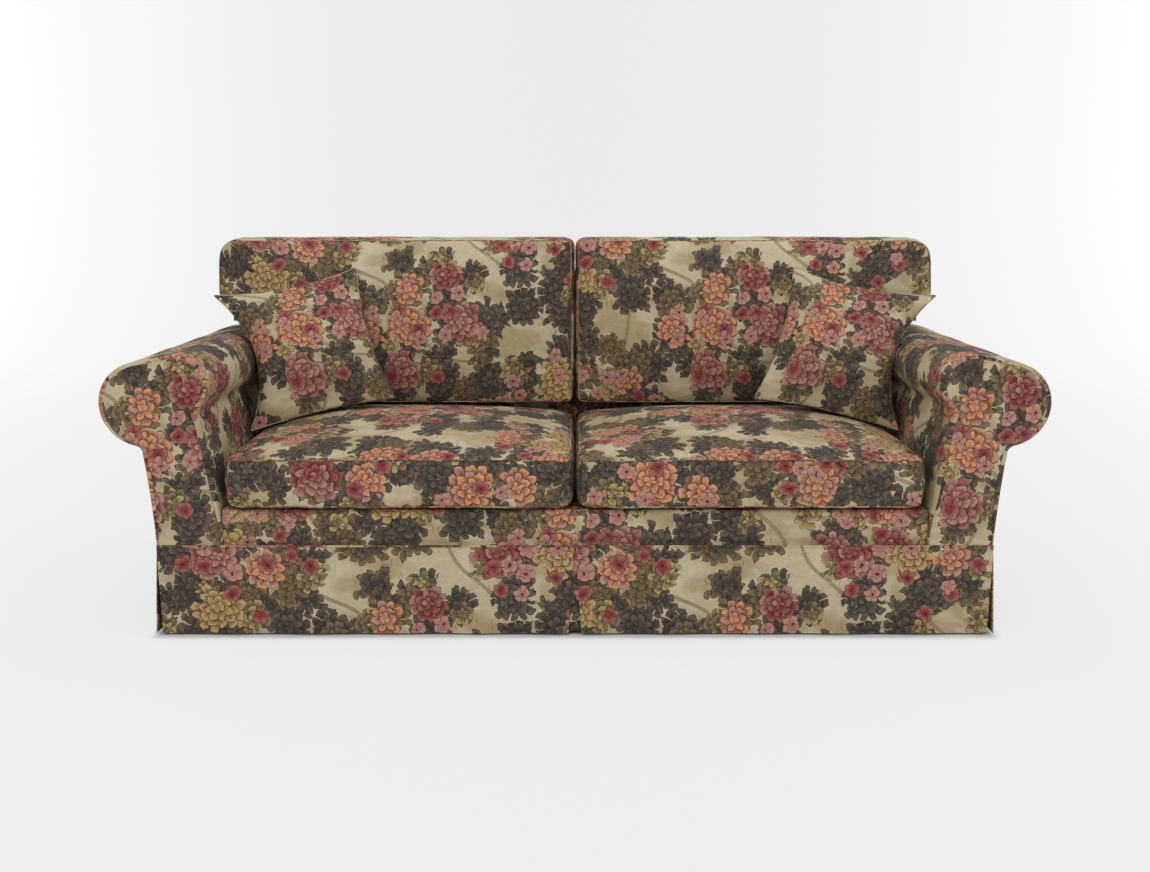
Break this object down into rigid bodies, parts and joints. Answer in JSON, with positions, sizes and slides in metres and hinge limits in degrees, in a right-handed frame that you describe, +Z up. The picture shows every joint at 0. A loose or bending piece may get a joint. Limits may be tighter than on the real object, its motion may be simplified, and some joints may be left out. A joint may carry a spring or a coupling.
{
  "type": "skirted scroll-arm sofa",
  "caption": "Skirted sofa with scroll arms, loose seat, back and scatter cushions and zip covers over a sprung timber frame.",
  "frame": {"origin": "middle of the footprint, on the floor that the foot glides stand on", "axes": "+Z up, the sofa's front faces -Y, +X runs along its width to the right as seen from the front"},
  "size_m": [2.28, 0.95, 0.952],
  "materials": {
    "print_fabric": "matt printed linen-weave cloth",
    "beech": "plain sanded hardwood",
    "plywood": "sanded plywood",
    "steel": "zinc-plated steel",
    "nylon_glide": "smooth nylon",
    "felt": "pressed felt",
    "foam": "open-cell foam",
    "fibre": "white fibre filling",
    "webbing": "woven elastic webbing",
    "dust_cloth": "black non-woven cloth",
    "zip": "nylon coil zip on woven tape"
  },
  "bodies": {
    "frame": {"front_rail": "beech", "back_rail": "beech", "centre_rail": "beech", "corner_blocks": "beech", "feet": "beech", "foot_glides": "nylon_glide", "foot_bolts": "steel", "frame_bolts": "steel", "seat_springs": "steel", "spring_clips": "steel", "spring_pad": "felt", "seat_deck": "print_fabric", "front_edge_pad": "foam", "front_border": "print_fabric", "back_posts": "beech", "back_top_board": "beech", "back_lumbar_rail": "beech", "wing_blocks": "beech", "back_webbing": "webbing", "back_pad": "foam", "inside_back_cover": "print_fabric", "outside_back_cover": "print_fabric", "dust_cover": "dust_cloth", "skirt_back": "print_fabric", "pleat_inserts": "print_fabric", "skirt_piping": "print_fabric", "side_rail_left": "beech", "side_rail_right": "beech", "arm_front_board_left": "plywood", "arm_front_board_right": "plywood", "arm_rear_board_left": "plywood", "arm_rear_board_right": "plywood", "arm_top_rail_left": "beech", "arm_top_rail_right": "beech", "arm_pad_left": "foam", "arm_pad_right": "foam", "arm_cover_left": "print_fabric", "arm_cover_right": "print_fabric", "arm_front_panel_left": "print_fabric", "arm_front_panel_right": "print_fabric", "skirt_front_left": "print_fabric", "skirt_front_right": "print_fabric", "skirt_side_left": "print_fabric", "skirt_side_right": "print_fabric"},
    "seat_left": {"seat_filling_left": "foam", "seat_cover_left": "print_fabric", "seat_zip_left": "zip"},
    "back_cushion_left": {"back_filling_left": "fibre", "back_cushion_cover_left": "print_fabric", "back_zip_left": "zip"},
    "scatter_left": {"scatter_filling_left": "fibre", "scatter_cover_left": "print_fabric"},
    "seat_right": {"seat_filling_right": "foam", "seat_cover_right": "print_fabric", "seat_zip_right": "zip"},
    "back_cushion_right": {"back_filling_right": "fibre", "back_cushion_cover_right": "print_fabric", "back_zip_right": "zip"},
    "scatter_right": {"scatter_filling_right": "fibre", "scatter_cover_right": "print_fabric"}
  },
  "joints": [
    {"name": "seat_left_slide", "type": "slide", "parent": "frame", "child": "seat_left", "axis": [0, -1, 0], "range_m": [0, 0.8]},
    {"name": "back_cushion_left_lift", "type": "slide", "parent": "seat_left", "child": "back_cushion_left", "axis": [0, 0.1736, 0.9848], "range_m": [0, 0.5]},
    {"name": "scatter_left_lift", "type": "slide", "parent": "back_cushion_left", "child": "scatter_left", "axis": [0, -0.2873, 0.9578], "range_m": [0, 0.5]},
    {"name": "seat_right_slide", "type": "slide", "parent": "frame", "child": "seat_right", "axis": [0, -1, 0], "range_m": [0, 0.8]},
    {"name": "back_cushion_right_lift", "type": "slide", "parent": "seat_right", "child": "back_cushion_right", "axis": [0, 0.1736, 0.9848], "range_m": [0, 0.5]},
    {"name": "scatter_right_lift", "type": "slide", "parent": "back_cushion_right", "child": "scatter_right", "axis": [0, -0.2873, 0.9578], "range_m": [0, 0.5]}
  ]
}
